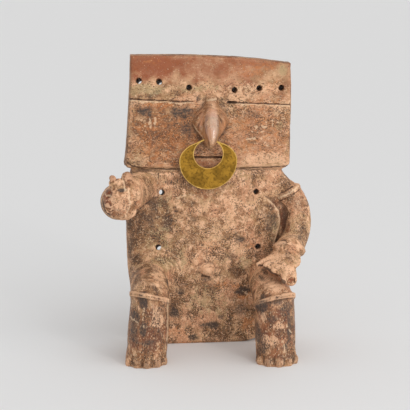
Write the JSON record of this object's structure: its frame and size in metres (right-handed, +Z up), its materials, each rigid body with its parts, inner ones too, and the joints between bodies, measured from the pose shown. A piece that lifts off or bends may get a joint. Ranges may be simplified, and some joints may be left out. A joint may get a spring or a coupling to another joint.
{
  "type": "pottery slab figure",
  "caption": "Seated clay figure made as a thick upright slab, with legs set forward, one raised and one resting hand, and a crescent nose ring of gold sheet.",
  "frame": {"origin": "middle of the slab's flat underside, level with the soles of both feet", "axes": "+Z up along the slab, -Y the way the figure faces, +X towards the side whose hand rests on the knee"},
  "size_m": [0.2143, 0.1151, 0.2966],
  "materials": {
    "fired_clay": "unglazed, worn, stained with dark mineral specks",
    "gold_sheet": "hammered sheet with a mottled tarnish and bright edges"
  },
  "bodies": {
    "root": {"figure": "fired_clay", "nose_ring": "gold_sheet"}
  },
  "joints": []
}
